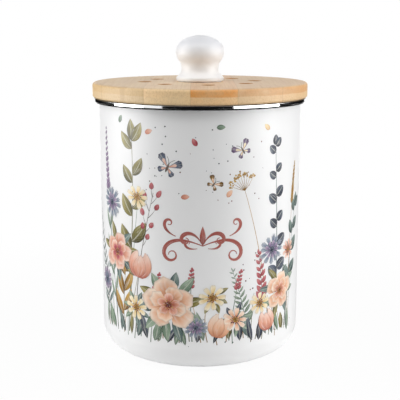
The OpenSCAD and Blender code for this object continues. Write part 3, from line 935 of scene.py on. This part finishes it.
def right_bank(sheet):
    """Round and teal leaves, an umbel, wheat and a fern, with blossoms in front."""
    round_leaf = sheet.stem((64, 27), 4, 146, -12, 6, 1.0, TEAL)
    sheet.pairs(round_leaf, NAVY, 0.32, 6, (12.5, 9.6), 56, 3, 0.65, 10, 0.62)
    teal_leaf = sheet.stem((78, 27), 6, 96, 6, 4, 0.9, TEAL)
    sheet.pairs(teal_leaf, TEAL, 0.42, 4, (16, 9.5), 46, 2, 0.7, 16, 0.8)
    sheet.umbel(sheet.stem((58, 27), -6, 116, -12, tones=GOLD), 9, 14, GOLD, 3)
    wheat = sheet.stem((80, 27), 5, 128, -4, 10, tones=GOLD)
    sheet.pairs(wheat, GOLD, 0.76, 9, (5.6, 2.8), 24, 4, 0.65, point=0.75, vein=0.3)
    sprig = sheet.stem((50, 27), 4, 64, -14, tones=PLUM)
    sheet.pairs(sprig, ROSE, 0.45, 7, (9, 4.6), 48, 4, 0.5, 16, 0.8, 0.4)
    fern = sheet.stem((38, 26), -8, 56, -12, tones=SAGE)
    sheet.pairs(fern, SAGE, 0.2, 11, (11, 3.0), 54, 1, 0.3, 12)

    sheet.cornflower((60, 92), 12.5, 4, (-20, 0.9), 8)
    sheet.daisy((82, 88), 9, 10, (0, 0.95), 7, BLUSH)
    sheet.collar((70, 58), 16, 8, (OLIVE, TEAL, SAGE), 6, 15)
    sheet.poppy((70, 58), 16.5, 10, (-30, 0.9), 9, PEACH, BLUSH)
    sheet.daisy((48, 52), 10, 0, (0, 0.95), 12)
    sheet.tulip((57, 29), -12, 17, 17, 12, ROSE, BLUSH)
    sheet.strew(14, (28, 60), (60, 92), PLUM)


TUFTS = 27                  # tufts of grass along the foot of the meadow
FIRST_TUFT = -90            # where the first one stands
TUFT_GAP = 6.6              # from one to the next
TUFT_FOOT = 23              # how high up the wall they start


def grass(banks):
    """Leaves and blades along the foot of the meadow. banks gives each sheet's right end."""
    for number in range(TUFTS):
        right = FIRST_TUFT + number * TUFT_GAP + dice.uniform(-2, 2)
        sheet = next(sheet for sheet, end in banks if right < end)
        sheet.leaf((right, TUFT_FOOT + dice.uniform(-1, 5)), dice.uniform(-28, 28),
                   dice.uniform(14, 27), dice.uniform(3.4, 7.0),
                   dice.choice((SAGE, TEAL, OLIVE, SAGE, NAVY)), 3 + number % 3,
                   dice.uniform(-18, 18), 0.9)
        sheet.stem((right + 3, TUFT_FOOT + dice.uniform(-1, 4)), dice.uniform(-16, 16),
                   dice.uniform(20, 42), dice.uniform(-34, 34), width=0.7,
                   tones=dice.choice((SAGE, OLIVE, GOLD)))
        sheet.strew(1, (right, 22), (right + 6, 46), TEAL)


def above(sheet):
    """Butterflies, loose petals and specks over the meadow."""
    sheet.butterfly((-24, 158), 12, 24, SLATE, BLUSH)
    sheet.butterfly((32, 170), 9.5, -32, MAUVE, CREAM)
    sheet.butterfly((10, 146), 7.5, 40, GOLD, PEACH)
    for right, up, heading, tones in (
            (-42, 182, 60, BLUSH), (-2, 174, -40, ROSE), (20, 136, 30, PEACH),
            (-14, 136, 75, BLUSH), (56, 184, -60, CREAM), (-68, 188, 20, SAGE),
            (12, 187, 80, SAGE)):
        sheet.leaf((right, up), heading, 6.5, 3.8, tones, 1, 16, 0.7, 0.2)
    sheet.strew(28, (-46, 134), (50, 188), NAVY, (0.25, 0.6))
    sheet.strew(16, (-46, 130), (50, 180), PLUM, (0.25, 0.6))


SCROLL_STROKES = (      # start, heading, length, turn, curl, thin, thick, layer
    ((0, -9), 66, 60, 52, 430, 0.35, 1.5, 1),
    ((1, -7), 24, 32, 116, 320, 0.3, 1.5, 2),
    ((20, -2), 70, 26, -60, -330, 0.3, 1.2, 3),
    ((4, -11), 100, 18, -50, -300, 0.25, 0.9, 0))


def scroll(sheet, middle_at):
    """A pen scroll, with its left half the mirror image of its right one."""
    for side in (-1, 1):
        for start, heading, length, turn, curl, thin, thick, layer in SCROLL_STROKES:
            line = Line((side * start[0] + middle_at[0], start[1] + middle_at[1]),
                        side * heading, length, side * turn, side * curl)

            def half_width(along):
                return thin + (thick - thin) * math.sin(math.pi * along) ** 2
            sheet.patch(ribbon(line, half_width), wash(PEN_ROSE, 0.35, 0.65), layer, 30, 2)
    sheet.leaf((middle_at[0], middle_at[1] - 9), 0, 15, 4.4, PEN_ROSE, 4, vein=0.3)


SHEETS = [Sheet("print_" + part) for part in ("left", "middle", "right", "above", "scroll")]
print_left, print_middle, print_right, print_above, print_scroll = SHEETS
left_bank(print_left)
low_blossoms(print_middle)
right_bank(print_right)
grass(((print_left, -42), (print_middle, 36), (print_right, math.inf)))
above(print_above)
scroll(print_scroll, (2, 109))
for sheet in SHEETS:
    sheet.lay(PRINT)


# --- Studio -----------------------------------------------------------------------------------

LAMPS = (       # name, azimuth, then in metres: distance, lower edge, height, width and the
                # height that it faces, and its watts
    ("strip_right", 45, 0.95, 0.0, 0.35, 0.37, 0.175, 0.94),
    ("low_left", -87, 0.95, 0.0, 0.35, 0.95, 0.175, 5.7),
    ("low_right", 80.5, 0.95, 0.0, 0.35, 0.87, 0.175, 4.9),
    ("high_left", -78, 1.0, 0.40, 0.9, 1.2, 0.15, 7.2),
    ("high_right", 74, 1.0, 0.40, 0.9, 1.2, 0.15, 6.6),
    ("above_front", 0, 0.50, 1.0, 0.5, 0.9, 0.15, 4.4))
FRONT_CARD = (-2, 0.88, 1.30, 1.0)      # azimuth, distance, width and height
SHINE_CARDS = {                         # the same for the cards that are for shine only
    "card_back_left": (-132, 1.0, 0.75, 1.2),
    "card_back_right": (128, 1.0, 0.75, 1.2),
    "card_side_left": (-107, 0.85, 0.28, 0.30),
    "card_side_right": (100, 0.85, 0.36, 0.30)}
RING_CARD = (0.09, 0.90)    # inner and outer radius of the card on the floor
RING_CARD_LIFT = 0.5 * MM   # how far it lies over the floor
FLOOR_REACH = 4.0           # from the caddy's axis to the floor's sides
FLOOR_DARKENS = (220.0, 480.0)      # millimetres out, where its own white turns grey
FLOOR_WHITENS = (150.0, 420.0)      # and where the last of the shadow leaves what the camera sees


def spot(azimuth, reach, height):
    """A point round the caddy: azimuth 0 is in front, and a positive one is on the right."""
    turn = math.radians(azimuth)
    return Vector((reach * math.sin(turn), -reach * math.cos(turn), height))


def softbox(name, azimuth, reach, low, tall, width, aim_height, watts):
    """A large soft lamp: its lower edge is at height low, and it faces the caddy's axis."""
    data = bpy.data.lights.new(name, "AREA")
    data.shape = "RECTANGLE"
    data.size = width
    data.size_y = tall
    data.energy = watts
    lamp = new_object(name, data)
    lamp.location = spot(azimuth, reach, low + tall / 2)
    aim = Vector((0, 0, aim_height)) - lamp.location
    lamp.rotation_euler = aim.to_track_quat("-Z", "Y").to_euler()


def upright(azimuth, reach, width, tall):
    """A rectangle that stands on the floor and faces the caddy's axis."""
    shape = bmesh.new()
    bmesh.ops.create_grid(shape, x_segments=4, y_segments=4, size=0.5)
    bmesh.ops.scale(shape, vec=(width, tall, 1), verts=shape.verts)
    for angle, axis in ((90, "X"), (azimuth, "Z")):
        matrix = Matrix.Rotation(math.radians(angle), 3, axis)
        bmesh.ops.rotate(shape, matrix=matrix, verts=shape.verts)
    bmesh.ops.translate(shape, vec=spot(azimuth, reach, tall / 2), verts=shape.verts)
    return shape


def flat_ring(inner_r, outer_r):
    """A ring that lies on the floor round the caddy."""
    shape = bmesh.new()
    bmesh.ops.create_circle(shape, cap_ends=True, segments=64, radius=outer_r)
    ring = bmesh.ops.inset_region(
        shape, faces=shape.faces[:], thickness=outer_r - inner_r, use_boundary=True)
    inside = [face for face in shape.faces if face not in ring["faces"]]
    bmesh.ops.delete(shape, geom=inside, context="FACES_KEEP_BOUNDARY")
    bmesh.ops.translate(shape, vec=(0, 0, RING_CARD_LIFT), verts=shape.verts)
    return shape


def black_card(name, shape, shine_only=False):
    """A black card, seen in what shines but not by the camera. One that is for shine only takes
    no light from matt things and throws no shadow."""
    card = new_object(name, mesh_from(name, shape))
    black = Finish(name, base_color=(0.01, 0.01, 0.01), roughness=0.9, specular_ior_level=0.0)
    card.data.materials.append(black.material)
    card.visible_camera = False
    card.visible_diffuse = not shine_only
    card.visible_shadow = not shine_only


def seen_rays(tree):
    """1 for rays from the camera and for those that shiny or clear things send, as long as no
    matt thing came before, and 0 for the rest."""
    camera = tree.node("LightPath", output="Is Camera Ray")
    shows = camera.most(camera.beside("Is Glossy Ray")).most(camera.beside("Is Transmission Ray"))
    return shows * camera.beside("Diffuse Depth").below(0.5)


def white_floor():
    """A white floor that shows as white paper and keeps the caddy's shadow."""
    shape = bmesh.new()
    bmesh.ops.create_grid(shape, x_segments=8, y_segments=8, size=FLOOR_REACH)
    floor = new_object("floor", mesh_from("floor", shape))
    paper = Finish("floor", roughness=0.7)
    x, y, _ = paper.axes(paper.place())
    away = distance(x, y)
    grey = away.eased(*FLOOR_DARKENS)
    paper.paint(base_color=paper.mix(grey, (0.80, 0.80, 0.80), (0.15, 0.15, 0.15)))
    glow = paper.node("Emission", sockets={"Color": (1.0, 1.0, 1.0), "Strength": 1.0})
    shown = paper.node("MixShader", sockets={
        0: seen_rays(paper) * away.eased(*FLOOR_WHITENS, 0.96, 1.0),
        1: Value(paper, paper.shader.outputs[0]), 2: glow})
    paper.feed(paper.nodes["Material Output"].inputs["Surface"], shown)
    floor.data.materials.append(paper.material)


def studio_air():
    """White all round for the camera and for what shines, and no light on the rest."""
    world = bpy.data.worlds.new("studio")
    bpy.context.scene.world = world
    world.use_nodes = True
    air = Tree(world.node_tree)
    background = air.nodes["Background"]
    air.feed(background.inputs["Color"], (1.0, 1.0, 1.0))
    air.feed(background.inputs["Strength"], seen_rays(air))


for lamp in LAMPS:
    softbox(*lamp)
black_card("card_front", upright(*FRONT_CARD))
black_card("card_floor", flat_ring(*RING_CARD), shine_only=True)
for name, place in SHINE_CARDS.items():
    black_card(name, upright(*place), shine_only=True)
white_floor()
studio_air()

bpy.context.scene.view_settings.view_transform = "Standard"
